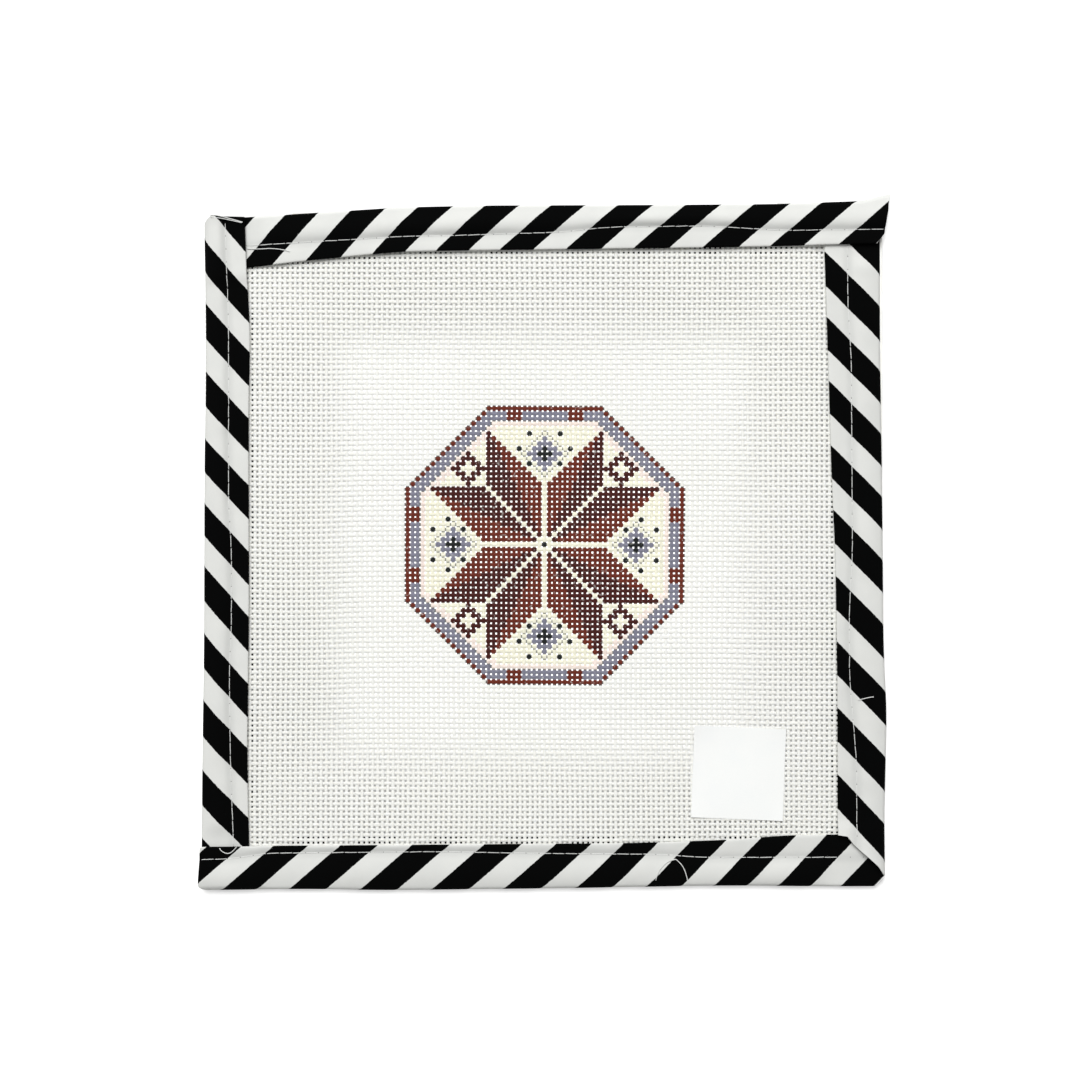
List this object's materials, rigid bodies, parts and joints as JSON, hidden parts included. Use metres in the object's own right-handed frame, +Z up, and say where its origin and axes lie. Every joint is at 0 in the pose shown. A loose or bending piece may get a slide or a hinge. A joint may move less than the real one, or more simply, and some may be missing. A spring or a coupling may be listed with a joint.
{
  "type": "bound needlepoint canvas",
  "caption": "Square open-mesh needlepoint canvas with a painted medallion, its raw edges bound in folded striped cloth tape.",
  "frame": {"origin": "centre of the bound outline, on the plane that the canvas lies on", "axes": "+X to the right and +Y to the top edge of the painted face, +Z up out of the face"},
  "size_m": [0.19, 0.1914, 0.0034],
  "materials": {
    "canvas": "sized cotton mesh, off-white, with a painted design in the middle",
    "binding": "plain-woven cotton tape with diagonal black and white stripes",
    "sewing_thread": "fine twisted off-white sewing thread",
    "label": "smooth matt white paper, blank"
  },
  "bodies": {
    "root": {"canvas_crosswise_threads": "canvas", "canvas_lengthwise_threads": "canvas", "bottom_binding": "binding", "right_binding": "binding", "top_binding": "binding", "left_binding": "binding", "bottom_needle_thread": "sewing_thread", "right_needle_thread": "sewing_thread", "top_needle_thread": "sewing_thread", "left_needle_thread": "sewing_thread", "bottom_bobbin_thread": "sewing_thread", "right_bobbin_thread": "sewing_thread", "top_bobbin_thread": "sewing_thread", "left_bobbin_thread": "sewing_thread", "paper_label": "label", "top_left_thread_tail": "sewing_thread", "bottom_left_thread_loop": "sewing_thread", "right_thread_tail": "sewing_thread", "bottom_long_thread_tail": "sewing_thread", "bottom_short_thread_tail": "sewing_thread"}
  },
  "joints": []
}
